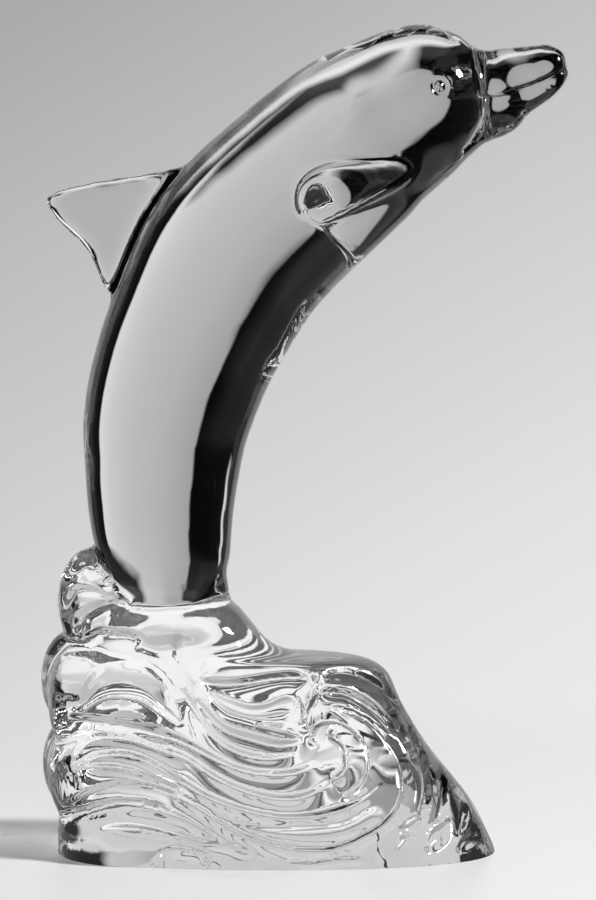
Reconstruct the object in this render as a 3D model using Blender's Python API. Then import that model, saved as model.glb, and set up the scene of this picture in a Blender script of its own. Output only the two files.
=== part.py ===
"""Solid clear-glass dolphin leaping out of a breaking wave, pressed and polished as one piece.

Metres, +Z up, +X the way the dolphin leaps, origin at the middle of the flat foot it stands on.
Each form is lofted on its own. They are then melted into one skin, in which the strands of water, the
mouth and the eyes are pressed, and the skin is cut flat at the foot.
"""

import math

import bmesh
import bpy
import numpy as np

MM = 0.001

# Wave
FOOT_LENGTH = 110 * MM
FOOT_DEPTH = 60 * MM
CREST_HEIGHT = 49 * MM
ROLL_HEIGHT = 28 * MM
ROLL_THICKNESS = 17 * MM

# Dolphin, without its beak, fin and flippers
LEAP_HEIGHT = 190 * MM  # foot to the middle of the head
BODY_HEIGHT = 48 * MM  # back to belly at the thickest place
BODY_WIDTH = 41 * MM

# Beak
BEAK_HEIGHT = 24 * MM
BEAK_WIDTH = 18 * MM

# Dorsal fin
FIN_THICKNESS = 4.6 * MM
FIN_EDGE = 1.8 * MM

# Flippers
FLIPPER_LENGTH = 30 * MM
FLIPPER_CHORD = 16.5 * MM
FLIPPER_BOW = 2.5 * MM
FLIPPER_THICKNESS = 8 * MM

# Lines pressed in the glass
STRAND_DEPTH = 1.8 * MM
HOLLOW_DEPTH = 2.4 * MM
HOLLOW_SLOPE = 2.2 * MM  # how far in from its outline a hollow goes down
MOUTH_DEPTH = 0.9 * MM
MOUTH_WIDTH = 0.8 * MM
EYE_RADIUS = 1.5 * MM
EYE_DEPTH = 0.6 * MM
EYE_LINE = 0.5 * MM
GROOVE_WIDTH = 1.1 * MM  # on a line's steep side
RUN_OUT = 2.6 * MM  # and on its gentle side
GROOVE_TAPER = 0.2  # how much of a line's length each end takes to run out
LINE_REACH = 4 * RUN_OUT
WAVE_TOP = 1.6 * CREST_HEIGHT  # the wave's pattern ends at this height
HEAD_START = 0.9 * LEAP_HEIGHT  # and the head's starts at this one
FADE_ACROSS = 20 * MM  # depth over which the pattern turns from the front side's to the rear one's
WRAP = 0.3  # how much of the pattern's depth goes on round the wave's back
CALM = 0.2  # how much of the strands' depth goes on through a hollow
REAR_SHARE = 0.35  # depth of the pattern on the rear side over that on the front one
LINE_READINGS = 80  # places at which a pressed line is read

# Skin
VOXEL = 1.0 * MM
ROUNDING_STEPS = 6
POLISHING_STEPS = 3
SKIN_TRIANGLES = 11000
RING_POINTS = 96
RINGS_PER_ROW = 6
EDGE_RINGS = 9  # rings that round the dorsal fin's edge
GLASS_COLOUR = (0.93, 0.95, 0.96, 1.0)
GLASS_IOR = 1.52
GLASS_ROUGHNESS = 0.02

# Spine of the dolphin from deep in the wave to the brow: x and z over the leap's height, then its girth
SPINE = (
    (-0.016, 0.180, 0.30),
    (-0.076, 0.260, 0.37),
    (-0.118, 0.326, 0.51),
    (-0.142, 0.384, 0.68),
    (-0.150, 0.460, 0.77),
    (-0.147, 0.530, 0.835),
    (-0.137, 0.595, 0.89),
    (-0.115, 0.662, 0.925),
    (-0.081, 0.734, 0.97),
    (-0.033, 0.810, 1.00),
    (0.050, 0.888, 0.98),
    (0.128, 0.951, 0.91),
    (0.178, 0.981, 0.835),
    (0.224, 1.001, 0.73),
    (0.252, 1.011, 0.58),
    (0.268, 1.016, 0.36),
    (0.275, 1.019, 0.10),
)
# Beak from inside the head to its tip: x and z over the leap's height, then its girth
BEAK = (
    (0.205, 0.985, 0.90),
    (0.262, 0.994, 0.98),
    (0.302, 1.008, 0.82),
    (0.336, 1.021, 0.66),
    (0.360, 1.032, 0.53),
    (0.375, 1.039, 0.38),
    (0.381, 1.041, 0.12),
)
# Dorsal fin's outline, from inside the back round its tip: x and z over the leap's height
FIN = (
    (-0.110, 0.900),
    (-0.155, 0.897),
    (-0.230, 0.885),
    (-0.285, 0.872),
    (-0.302, 0.862),
    (-0.298, 0.848),
    (-0.270, 0.815),
    (-0.240, 0.780),
    (-0.222, 0.740),
    (-0.180, 0.740),
    (-0.110, 0.800),
)
# Flipper on the +Y side, root to tip: x and z over the leap's height, y over the body's width; then the way its
# broad side faces
FLIPPER_ROOT = (0.163, 0.31, 0.912)
FLIPPER_TIP = (0.031, 0.64, 0.826)
FLIPPER_FACING = (0.45, 0.70, 0.75)
# Girth of a flipper along its length, root to tip
FLIPPER_TAPER = (
    (0.0, 0.70),
    (0.2, 0.95),
    (0.45, 1.0),
    (0.7, 0.88),
    (0.88, 0.62),
    (0.97, 0.32),
    (1.0, 0.08),
)
# Mouth, from the tip of the beak to its corner, and the eye: x and z over the leap's height
MOUTH = ((0.395, 1.042), (0.370, 1.024), (0.346, 1.012), (0.316, 1.001), (0.288, 0.993), (0.268, 0.995))
EYE = (0.213, 1.005)

# Wave's side: height over the crest's, left and right end over the foot's length, depth over the foot's
WAVE = (
    (-0.12, -0.500, 0.505, 1.00),
    (0.00, -0.497, 0.503, 1.00),
    (0.07, -0.480, 0.490, 0.98),
    (0.22, -0.465, 0.457, 0.94),
    (0.37, -0.461, 0.410, 0.90),
    (0.53, -0.459, 0.352, 0.83),
    (0.67, -0.455, 0.312, 0.76),
    (0.83, -0.448, 0.275, 0.67),
    (0.94, -0.438, 0.248, 0.60),
    (0.99, -0.434, 0.203, 0.56),
    (1.01, -0.432, 0.075, 0.53),
    (1.06, -0.425, -0.004, 0.50),
    (1.14, -0.410, -0.040, 0.50),
    (1.20, -0.390, -0.062, 0.47),
    (1.25, -0.350, -0.080, 0.40),
    (1.27, -0.300, -0.095, 0.30),
)
WAVE_PLAN_POWER = 2.3  # seen from above each section is between an ellipse, 2, and a rectangle
# Rolls of foam that wrap the wave's back one above the other, from the front side round to the rear one:
# x over the foot's length, y over its depth, z over the crest's height, then girth
ROLLS = (
    (
        (-0.31, -0.06, 1.09, 0.20),
        (-0.36, -0.05, 1.15, 0.60),
        (-0.405, -0.01, 1.23, 0.88),
        (-0.425, 0.06, 1.28, 0.95),
        (-0.37, 0.13, 1.27, 0.88),
        (-0.32, 0.19, 1.20, 0.60),
        (-0.27, 0.21, 1.17, 0.20),
    ),
    (
        (-0.18, -0.16, 0.68, 0.12),
        (-0.26, -0.22, 0.73, 0.60),
        (-0.34, -0.21, 0.75, 0.95),
        (-0.425, -0.13, 0.76, 1.00),
        (-0.450, 0.00, 0.82, 0.90),
        (-0.474, 0.12, 0.88, 0.82),
        (-0.36, 0.21, 0.83, 0.90),
        (-0.26, 0.22, 0.76, 0.60),
        (-0.18, 0.16, 0.68, 0.12),
    ),
    (
        (-0.06, -0.20, 0.30, 0.10),
        (-0.15, -0.31, 0.36, 0.35),
        (-0.24, -0.34, 0.42, 0.65),
        (-0.34, -0.30, 0.43, 0.85),
        (-0.43, -0.19, 0.41, 0.90),
        (-0.450, 0.00, 0.42, 0.88),
        (-0.470, 0.15, 0.44, 0.82),
        (-0.36, 0.29, 0.46, 0.85),
        (-0.24, 0.34, 0.43, 0.65),
        (-0.15, 0.31, 0.36, 0.35),
        (-0.06, 0.20, 0.30, 0.10),
    ),
    (
        (-0.08, -0.24, 0.08, 0.10),
        (-0.17, -0.36, 0.12, 0.35),
        (-0.26, -0.385, 0.15, 0.55),
        (-0.36, -0.33, 0.12, 0.68),
        (-0.43, -0.19, 0.10, 0.68),
        (-0.445, 0.00, 0.10, 0.68),
        (-0.435, 0.19, 0.11, 0.68),
        (-0.36, 0.33, 0.12, 0.68),
        (-0.26, 0.385, 0.15, 0.55),
        (-0.17, 0.36, 0.12, 0.35),
        (-0.08, 0.24, 0.08, 0.10),
    ),
)

# Lines pressed beside the strands of water, so that each strand runs out under the next, and lines in the top
# roll of foam: x over the foot's length, z over the crest's height
GROOVES = (
    ((-0.466, 0.72), (-0.418, 0.71), (-0.327, 0.69), (-0.258, 0.66), (-0.195, 0.61), (-0.139, 0.55),
     (-0.070, 0.49), (0.000, 0.47), (0.055, 0.48), (0.101, 0.52)),
    ((-0.446, 0.52), (-0.418, 0.62), (-0.369, 0.65), (-0.306, 0.64), (-0.251, 0.60), (-0.195, 0.54),
     (-0.139, 0.46), (-0.070, 0.39), (0.000, 0.35), (0.069, 0.36), (0.128, 0.43)),
    ((-0.435, 0.42), (-0.421, 0.52), (-0.383, 0.56), (-0.334, 0.57), (-0.286, 0.54), (-0.230, 0.46),
     (-0.167, 0.37), (-0.084, 0.30), (0.000, 0.26), (0.083, 0.26), (0.153, 0.29), (0.208, 0.35),
     (0.254, 0.44)),
    ((-0.459, 0.29), (-0.418, 0.35), (-0.369, 0.40), (-0.320, 0.41), (-0.265, 0.39), (-0.209, 0.34),
     (-0.160, 0.28), (-0.112, 0.21), (-0.056, 0.15), (0.007, 0.11), (0.069, 0.09), (0.139, 0.10),
     (0.208, 0.16), (0.264, 0.24), (0.292, 0.35), (0.293, 0.46), (0.271, 0.58), (0.229, 0.69),
     (0.174, 0.76), (0.111, 0.78), (0.073, 0.75)),
    ((0.146, 0.35), (0.188, 0.38), (0.214, 0.46), (0.217, 0.57), (0.194, 0.66), (0.153, 0.72),
     (0.111, 0.73), (0.087, 0.70), (0.080, 0.64), (0.097, 0.60)),
    ((0.128, 0.43), (0.160, 0.48), (0.167, 0.57), (0.146, 0.64), (0.118, 0.66)),
    ((0.090, 0.85), (0.146, 0.86), (0.201, 0.81), (0.250, 0.72), (0.288, 0.60)),
    ((0.104, 0.94), (0.181, 0.95), (0.236, 0.88), (0.285, 0.75), (0.323, 0.58), (0.344, 0.44),
     (0.342, 0.29), (0.316, 0.18), (0.264, 0.09)),
    ((0.167, 1.01), (0.243, 0.98), (0.292, 0.84), (0.341, 0.66), (0.375, 0.48), (0.386, 0.33),
     (0.372, 0.21), (0.334, 0.08)),
    ((0.320, 0.72), (0.375, 0.54), (0.417, 0.36), (0.431, 0.23), (0.410, 0.12)),
    ((-0.171, 0.92), (-0.112, 0.91), (-0.056, 0.92), (0.000, 0.94), (0.055, 0.94), (0.087, 0.91)),
    ((0.094, 0.95), (0.090, 0.87), (0.073, 0.79), (0.068, 0.70)),
    ((-0.178, 0.84), (-0.146, 0.75), (-0.105, 0.68), (-0.049, 0.64), (0.014, 0.61), (0.069, 0.63)),
    ((-0.209, 0.89), (-0.181, 0.78), (-0.139, 0.66), (-0.084, 0.58), (-0.014, 0.55), (0.055, 0.57)),
    ((-0.452, 0.48), (-0.390, 0.50), (-0.327, 0.49), (-0.265, 0.44), (-0.209, 0.38), (-0.153, 0.30)),
    ((-0.480, 0.23), (-0.425, 0.26), (-0.362, 0.31), (-0.306, 0.31), (-0.251, 0.29), (-0.195, 0.23),
     (-0.139, 0.16), (-0.077, 0.09)),
    ((-0.397, 0.18), (-0.327, 0.20), (-0.251, 0.17), (-0.181, 0.13), (-0.112, 0.12), (-0.028, 0.07)),
    ((-0.265, 0.06), (-0.223, 0.09), (-0.181, 0.09), (-0.139, 0.06)),
    ((-0.452, 1.13), (-0.442, 1.21), (-0.411, 1.27), (-0.369, 1.30), (-0.324, 1.27)),
    ((-0.432, 1.10), (-0.397, 1.13), (-0.348, 1.14), (-0.299, 1.11)),
    ((-0.470, 1.24), (-0.459, 1.34), (-0.425, 1.36), (-0.383, 1.34), (-0.348, 1.30)),
    ((-0.466, 1.41), (-0.425, 1.48), (-0.390, 1.43), (-0.372, 1.33)),
)

# Hollows pressed in the wave's side, each a closed outline in the same shares
HOLLOWS = (
    ((-0.150, 0.87), (-0.105, 0.85), (-0.056, 0.81), (-0.014, 0.82), (0.031, 0.85), (0.059, 0.81),
     (0.061, 0.73), (0.055, 0.64), (0.021, 0.64), (-0.035, 0.67), (-0.084, 0.70), (-0.126, 0.74)),
    ((-0.046, 0.71), (-0.007, 0.72), (0.031, 0.69), (0.028, 0.66), (-0.014, 0.67)),
    ((-0.433, 0.77), (-0.433, 0.88), (-0.407, 0.97), (-0.362, 1.01), (-0.310, 1.00), (-0.261, 0.92),
     (-0.226, 0.82), (-0.207, 0.71), (-0.247, 0.75), (-0.292, 0.82), (-0.348, 0.84), (-0.400, 0.81)),
    ((-0.366, 0.74), (-0.331, 0.76), (-0.290, 0.73), (-0.327, 0.72)),
    ((-0.220, 1.11), (-0.210, 1.06), (-0.220, 1.00), (-0.228, 1.06)),
    ((-0.146, 0.27), (-0.070, 0.23), (0.021, 0.22), (0.111, 0.23), (0.181, 0.27), (0.229, 0.31),
     (0.247, 0.26), (0.212, 0.18), (0.139, 0.12), (0.062, 0.11), (-0.014, 0.15), (-0.084, 0.21)),
    ((0.014, 0.03), (0.104, 0.06), (0.198, 0.06), (0.212, 0.04), (0.146, 0.01), (0.062, 0.00)),
    ((0.274, 0.18), (0.300, 0.24), (0.330, 0.25), (0.328, 0.20), (0.300, 0.15)),
    ((0.337, 0.07), (0.343, 0.14), (0.370, 0.21), (0.398, 0.22), (0.399, 0.15), (0.375, 0.08)),
    ((0.410, 0.05), (0.431, 0.15), (0.462, 0.18), (0.473, 0.12), (0.445, 0.06)),
)


def smooth_line(rows, count, closed=False):
    """A cubic spline of even curvature through the rows, read at evenly spaced places."""
    rows = np.array(rows, float)
    shared = 4  # rows repeated at each end of a closed line, so that it bends alike where it closes
    if closed:
        rows = np.vstack([rows[-shared:], rows, rows[:shared]])
    steps = np.linalg.norm(np.diff(rows, axis=0), axis=1)
    knots = np.concatenate([[0], np.cumsum(steps)])
    bend_share, pull = np.eye(len(rows)), np.zeros_like(rows)
    for i in range(1, len(rows) - 1):
        before, after = steps[i - 1], steps[i]
        bend_share[i, i - 1 : i + 2] = before, 2 * (before + after), after
        pull[i] = 6 * ((rows[i + 1] - rows[i]) / after - (rows[i] - rows[i - 1]) / before)
    bend = np.linalg.solve(bend_share, pull)
    first, last = (knots[shared], knots[-shared]) if closed else (0, knots[-1])
    places = np.linspace(first, last, count, endpoint=not closed)
    left = np.clip(np.searchsorted(knots, places, side="right") - 1, 0, len(rows) - 2)
    gap = steps[left][:, None]
    near_end = (places[:, None] - knots[left][:, None]) / gap
    near_start = 1 - near_end
    return (
        near_start * rows[left]
        + near_end * rows[left + 1]
        + (near_start**3 - near_start) * bend[left] * gap**2 / 6
        + (near_end**3 - near_end) * bend[left + 1] * gap**2 / 6
    )


def loft(skin, rings):
    """Adds a closed skin over a row of rings that have the same number of points."""
    rows = [[skin.verts.new(point) for point in ring] for ring in rings]
    for lower, upper in zip(rows, rows[1:]):
        for i in range(len(lower)):
            j = (i + 1) % len(lower)
            skin.faces.new((lower[i], lower[j], upper[j], upper[i]))
    skin.faces.new(rows[0][::-1])
    skin.faces.new(rows[-1])


def turn_angles():
    return np.linspace(0, 2 * math.pi, RING_POINTS, endpoint=False)


def add_swept(skin, rows, height, width):
    """Oval sections square to a spine in the XZ plane, whose rows give x, z and girth."""
    line = smooth_line(rows, RINGS_PER_ROW * len(rows))
    along = np.gradient(line[:, :2], axis=0)
    along /= np.linalg.norm(along, axis=1)[:, None]
    rings = []
    for (x, z, girth), (along_x, along_z) in zip(line, along):
        rise = np.cos(turn_angles()) * girth * height / 2
        side = np.sin(turn_angles()) * girth * width / 2
        rings.append(np.stack([x - along_z * rise, side, z + along_x * rise], axis=1))
    loft(skin, rings)


def on_leap(rows):
    """Rows whose first two numbers are shares of the leap's height, in metres."""
    return [(x * LEAP_HEIGHT, z * LEAP_HEIGHT, *rest) for x, z, *rest in rows]


def add_dorsal_fin(skin):
    outline = smooth_line(on_leap(FIN), RING_POINTS, closed=True)
    middle = outline.mean(axis=0)
    reach = np.linalg.norm(outline - middle, axis=1)[:, None]
    rings = []
    for angle in np.linspace(-math.pi / 2, math.pi / 2, EDGE_RINGS):
        drawn_in = FIN_EDGE * (1 - math.cos(angle))
        drawn = middle + (outline - middle) * (1 - drawn_in / reach)
        side = np.full(len(outline), FIN_THICKNESS / 2 * math.sin(angle))
        rings.append(np.stack([drawn[:, 0], side, drawn[:, 1]], axis=1))
    loft(skin, rings)


def add_flipper(skin, side):
    """A thick leaf that leaves the belly outwards and back. side is 1 for the +Y one and -1 for the other."""
    mirror = np.array([1, side, 1])
    place = np.array([LEAP_HEIGHT, BODY_WIDTH, LEAP_HEIGHT])
    root = np.array(FLIPPER_ROOT) * place * mirror
    along = np.array(FLIPPER_TIP) * place * mirror - root
    along /= np.linalg.norm(along)
    chord = np.cross(np.array(FLIPPER_FACING) * mirror, along)
    chord /= np.linalg.norm(chord)
    thick = np.cross(along, chord)
    rings = []
    for reach, girth in smooth_line(FLIPPER_TAPER, RINGS_PER_ROW * len(FLIPPER_TAPER)):
        bow = chord * FLIPPER_BOW * math.sin(math.pi * reach)
        middle = root + along * reach * FLIPPER_LENGTH - bow
        wide = np.cos(turn_angles())[:, None] * chord * girth * FLIPPER_CHORD / 2
        deep = np.sin(turn_angles())[:, None] * thick * girth * FLIPPER_THICKNESS / 2
        rings.append(middle + wide + deep)
    loft(skin, rings)


def add_wave(skin):
    rings = []
    for height, left, right, depth in smooth_line(WAVE, RINGS_PER_ROW * len(WAVE)):
        half = (right - left) / 2 * FOOT_LENGTH
        middle = (right + left) / 2 * FOOT_LENGTH
        across, out = np.cos(turn_angles()), np.sin(turn_angles())
        power = 2 / WAVE_PLAN_POWER
        x = middle + half * np.sign(across) * np.abs(across) ** power
        y = depth * FOOT_DEPTH / 2 * np.sign(out) * np.abs(out) ** power
        rings.append(np.stack([x, y, np.full(RING_POINTS, height * CREST_HEIGHT)], axis=1))
    loft(skin, rings)


def add_foam_roll(skin, rows):
    path = smooth_line(rows, RINGS_PER_ROW * len(rows))
    middles = path[:, :3] * (FOOT_LENGTH, FOOT_DEPTH, CREST_HEIGHT)
    rings = []
    for middle, along, girth in zip(middles, np.gradient(middles, axis=0), path[:, 3]):
        out = np.cross(along, (0, 0, 1))
        out /= np.linalg.norm(out)
        deep = np.cos(turn_angles())[:, None] * out * girth * ROLL_THICKNESS / 2
        tall = np.sin(turn_angles())[:, None] * np.array((0, 0, 1)) * girth * ROLL_HEIGHT / 2
        rings.append(middle + deep + tall)
    loft(skin, rings)


def distance_to(line, points):
    """For each point, its distance to a line, on which side it lies, and how far along the line it is."""
    best = np.full(len(points), np.inf)
    side = np.zeros(len(points))
    along = np.zeros(len(points))
    for i, (start, end) in enumerate(zip(line, line[1:])):
        run = end - start
        reach = np.clip((points - start) @ run / (run @ run), 0, 1)
        offset = points - start - reach[:, None] * run
        away = np.linalg.norm(offset, axis=1)
        closer = away < best
        best[closer] = away[closer]
        side[closer] = np.sign(run[1] * offset[closer, 0] - run[0] * offset[closer, 1])
        along[closer] = (i + reach[closer]) / (len(line) - 1)
    return best, side, along


def on_wave(rows):
    return np.array(rows) * (FOOT_LENGTH, CREST_HEIGHT)


def reached_by(line, points):
    """Which points are near enough to a line for its pattern to show."""
    low, high = line.min(axis=0) - LINE_REACH, line.max(axis=0) + LINE_REACH
    return np.all((points > low) & (points < high), axis=1)


def groove(line, points):
    """How much of its depth a line has at each point: steep on one side, and running out on the other."""
    away, side, along = distance_to(line, points)
    steep = np.exp(-((away / GROOVE_WIDTH) ** 2))
    gentle = np.exp(-away / RUN_OUT)
    taper = np.clip(np.minimum(along, 1 - along) / GROOVE_TAPER, 0, 1)
    return np.where(side > 0, gentle, steep) * np.sin(taper * math.pi / 2)


def inside(outline, points):
    """Which points lie inside a closed outline."""
    found = np.zeros(len(points), bool)
    for (x0, z0), (x1, z1) in zip(outline, np.roll(outline, -1, axis=0)):
        if z0 == z1:
            continue
        crosses = (z0 > points[:, 1]) != (z1 > points[:, 1])
        found ^= crosses & (points[:, 0] < x0 + (points[:, 1] - z0) * (x1 - x0) / (z1 - z0))
    return found


def wave_relief(points):
    grooves = np.zeros(len(points))
    dishes = np.zeros(len(points))
    for rows in GROOVES:
        line = smooth_line(on_wave(rows), LINE_READINGS)
        near = reached_by(line, points)
        grooves[near] = np.maximum(grooves[near], groove(line, points[near]))
    for rows in HOLLOWS:
        outline = smooth_line(on_wave(rows), LINE_READINGS, closed=True)
        within = inside(outline, points)
        away = distance_to(np.vstack([outline, outline[:1]]), points[within])[0]
        grooves[within] *= CALM
        dishes[within] += 1 - np.exp(-away / HOLLOW_SLOPE)
    return -STRAND_DEPTH * grooves - HOLLOW_DEPTH * dishes


def head_relief(points):
    """The mouth and the eye, pressed alike in both sides of the head."""
    away = distance_to(smooth_line(np.array(MOUTH) * LEAP_HEIGHT, LINE_READINGS), points)[0]
    mouth = MOUTH_DEPTH * np.exp(-((away / MOUTH_WIDTH) ** 2))
    from_eye = np.linalg.norm(points - np.array(EYE) * LEAP_HEIGHT, axis=1)
    eye = EYE_DEPTH * np.exp(-(((from_eye - EYE_RADIUS) / EYE_LINE) ** 2))
    return -mouth - eye


def vertex_rows(mesh, attribute):
    rows = np.empty(3 * len(mesh.vertices), np.float32)
    mesh.vertices.foreach_get(attribute, rows)
    return rows.reshape(-1, 3).astype(float)


def pressed(mesh):
    """Moves the skin in along its normals by the pattern that the mould presses in its two sides."""
    points, normals = vertex_rows(mesh, "co"), vertex_rows(mesh, "normal")
    depth = np.zeros(len(points))
    for part, relief in (
        (points[:, 2] < WAVE_TOP, wave_relief),
        (points[:, 2] > HEAD_START, head_relief),
    ):
        depth[part] = relief(points[part][:, [0, 2]])
    facing = np.maximum(np.abs(normals[:, 1]), -WRAP * normals[:, 0])
    front = np.clip(0.5 - points[:, 1] / FADE_ACROSS, 0, 1)
    share = np.where(points[:, 2] < WAVE_TOP, REAR_SHARE + (1 - REAR_SHARE) * front, 1)
    points += normals * (depth * facing * share)[:, None]
    mesh.vertices.foreach_set("co", points.astype(np.float32).ravel())


def bake_modifiers(figure):
    graph = bpy.context.evaluated_depsgraph_get()
    figure.data = bpy.data.meshes.new_from_object(figure.evaluated_get(graph))
    figure.modifiers.clear()


def add_modifier(figure, name, kind, **settings):
    modifier = figure.modifiers.new(name, kind)
    for setting, value in settings.items():
        setattr(modifier, setting, value)


def melted(skin):
    """The overlapping forms melted into one skin, rounded where they meet, then pressed and fire polished."""
    bmesh.ops.recalc_face_normals(skin, faces=skin.faces)
    mesh = bpy.data.meshes.new("dolphin_on_wave")
    skin.to_mesh(mesh)
    skin.free()
    figure = bpy.data.objects.new("dolphin_on_wave", mesh)
    bpy.context.collection.objects.link(figure)
    add_modifier(figure, "Melt", "REMESH", mode="VOXEL", voxel_size=VOXEL)
    add_modifier(figure, "Rounding", "SMOOTH", iterations=ROUNDING_STEPS)
    bake_modifiers(figure)
    pressed(figure.data)
    add_modifier(figure, "Fire polish", "SMOOTH", iterations=POLISHING_STEPS)
    share = SKIN_TRIANGLES / (2 * len(figure.data.polygons))
    add_modifier(figure, "Lighter skin", "DECIMATE", ratio=share)
    bake_modifiers(figure)
    return figure


def grind_foot_flat(figure):
    mesh = bmesh.new()
    mesh.from_mesh(figure.data)
    everything = mesh.verts[:] + mesh.edges[:] + mesh.faces[:]
    cut = bmesh.ops.bisect_plane(
        mesh, geom=everything, plane_co=(0, 0, 0), plane_no=(0, 0, -1), clear_outer=True
    )
    rim = [part for part in cut["geom_cut"] if isinstance(part, bmesh.types.BMEdge)]
    bmesh.ops.edgenet_fill(mesh, edges=rim)
    bmesh.ops.recalc_face_normals(mesh, faces=mesh.faces)
    mesh.to_mesh(figure.data)
    mesh.free()


def clear_glass():
    material = bpy.data.materials.new("Clear glass")
    material.use_nodes = True
    shader = material.node_tree.nodes["Principled BSDF"]
    shader.inputs["Base Color"].default_value = GLASS_COLOUR
    shader.inputs["Roughness"].default_value = GLASS_ROUGHNESS
    shader.inputs["IOR"].default_value = GLASS_IOR
    shader.inputs["Transmission Weight"].default_value = 1.0
    return material


def build():
    for leftover in list(bpy.data.objects):
        bpy.data.objects.remove(leftover)
    skin = bmesh.new()
    add_swept(skin, on_leap(SPINE), BODY_HEIGHT, BODY_WIDTH)
    add_swept(skin, on_leap(BEAK), BEAK_HEIGHT, BEAK_WIDTH)
    add_dorsal_fin(skin)
    for side in (-1, 1):
        add_flipper(skin, side)
    add_wave(skin)
    for roll in ROLLS:
        add_foam_roll(skin, roll)
    figure = melted(skin)
    grind_foot_flat(figure)
    figure.data.shade_smooth()
    figure.data.materials.append(clear_glass())


build()
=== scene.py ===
"""Looks of a solid clear-glass dolphin that leaps out of a wave: the glass, floor, light and camera.

Metres, +Z up, +X the way the dolphin leaps. The glass is the part's own form made again with a finer skin.
"""

import math

import bmesh
import bpy
import numpy as np
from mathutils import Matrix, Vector


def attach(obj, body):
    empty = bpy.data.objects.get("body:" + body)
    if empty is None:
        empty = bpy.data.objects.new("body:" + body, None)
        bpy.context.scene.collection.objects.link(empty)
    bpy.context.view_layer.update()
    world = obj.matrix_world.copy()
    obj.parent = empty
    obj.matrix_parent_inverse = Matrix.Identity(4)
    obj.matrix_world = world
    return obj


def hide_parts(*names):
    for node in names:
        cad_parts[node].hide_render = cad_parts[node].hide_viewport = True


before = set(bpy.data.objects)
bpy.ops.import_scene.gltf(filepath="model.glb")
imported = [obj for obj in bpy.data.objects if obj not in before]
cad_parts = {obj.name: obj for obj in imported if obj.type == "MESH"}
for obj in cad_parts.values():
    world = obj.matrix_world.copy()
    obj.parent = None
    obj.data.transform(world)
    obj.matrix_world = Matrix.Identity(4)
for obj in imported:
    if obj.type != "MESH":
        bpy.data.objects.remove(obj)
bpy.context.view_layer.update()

MM = 0.001

# Wave
FOOT_LENGTH = 110 * MM
FOOT_DEPTH = 60 * MM
CREST_HEIGHT = 49 * MM
ROLL_HEIGHT = 28 * MM
ROLL_THICKNESS = 17 * MM

# Dolphin, without its beak, fin and flippers
LEAP_HEIGHT = 190 * MM  # foot to the middle of the head
BODY_HEIGHT = 48 * MM  # back to belly at the thickest place
BODY_WIDTH = 41 * MM

# Beak
BEAK_HEIGHT = 24 * MM
BEAK_WIDTH = 18 * MM

# Dorsal fin
FIN_THICKNESS = 4.6 * MM
FIN_EDGE = 1.8 * MM

# Flippers
FLIPPER_LENGTH = 30 * MM
FLIPPER_CHORD = 16.5 * MM
FLIPPER_BOW = 2.5 * MM
FLIPPER_THICKNESS = 8 * MM

# Lines pressed in the glass
STRAND_DEPTH = 3.0 * MM
HOLLOW_DEPTH = 2.4 * MM
HOLLOW_SLOPE = 2.2 * MM  # how far in from its outline a hollow goes down
MOUTH_DEPTH = 0.9 * MM
MOUTH_WIDTH = 0.8 * MM
EYE_RADIUS = 1.5 * MM
EYE_DEPTH = 0.6 * MM
EYE_LINE = 0.5 * MM
EYE_SURROUND = 4 * EYE_RADIUS  # the mesh is fine from this far behind the eye
GROOVE_WIDTH = 0.8 * MM  # on a line's steep side
RUN_OUT = 2.0 * MM  # and on its gentle side
GROOVE_TAPER = 0.2  # how much of a line's length each end takes to run out
LINE_REACH = 4 * RUN_OUT
WAVE_TOP = 1.6 * CREST_HEIGHT  # the wave's pattern ends at this height
HEAD_START = 0.9 * LEAP_HEIGHT  # and the head's starts at this one
FADE_ACROSS = 20 * MM  # depth over which the pattern turns from the front side's to the rear one's
WRAP = 0.3  # how much of the pattern's depth goes on round the wave's back
CALM = 0.2  # how much of the strands' depth goes on through a hollow
REAR_SHARE = 0.35  # depth of the pattern on the rear side over that on the front one
LINE_READINGS = 80  # places at which a pressed line is read

# Skin
VOXEL = 1.14 * MM
BODY_ROUNDING_STEPS = 12
ROUNDING_STEPS = 4
FINE_ROUNDING_STEPS = 4
POLISHING_STEPS = 1
RING_POINTS = 160
RINGS_PER_ROW = 8
EDGE_RINGS = 17  # rings that round the dorsal fin's edge
SMOOTH_FROM = 1.7 * CREST_HEIGHT  # above this height the skin is plain and gets more rounding
SMOOTH_BLEND = 8 * MM
PLAIN_SKIN = "plain skin"
SIDE_FACING = 0.5  # a face whose normal's y is above this is on a patterned side

# Glass
GLASS_IOR = 1.52
TINT_SCALE = 38.0  # streaks of tint to a metre
TINT_DETAIL = 2.0
TINT_ROUGHNESS = 0.45
TINT_DISTORTION = 0.6
TINT_RANGE = (0.3, 0.7)  # noise at which the tint is deepest and faintest
DEEPEST_TINT = (0.955, 0.965, 0.97, 1)
FAINTEST_TINT = (0.99, 0.992, 0.993, 1)
DULL_RANGE = (0.35, 0.75)  # noise at which the polish starts to fail and is at its worst
WORST_ROUGHNESS = 0.012
WAVINESS_SCALE = 110.0
WAVINESS_DETAIL = 1.0
WAVINESS_ROUGHNESS = 0.4
WAVINESS_STRENGTH = 0.1
WAVINESS_HEIGHT = 0.4 * MM

# Camera
CAMERA_DISTANCE = 950 * MM
CAMERA_PITCH = 4.0  # degrees it looks down
VIEW_HEIGHT = 225 * MM  # what the picture's height takes in at the object
VIEW_MIDDLE = (5.75 * MM, 100.75 * MM)  # x and z of the picture's middle
SENSOR = 24.0

# Floor
FLOOR_RADIUS = 1600 * MM
FLOOR_SIDES = 96
FLOOR_GAP = 0.02 * MM  # between the foot and the floor
FLOOR_COLOUR = (0.84, 0.84, 0.84, 1)
FLOOR_ROUGHNESS = 0.35
FADE_START = 130 * MM  # how far from the foot's middle the floor starts to fade into the backdrop
FADE_END = 310 * MM
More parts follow.
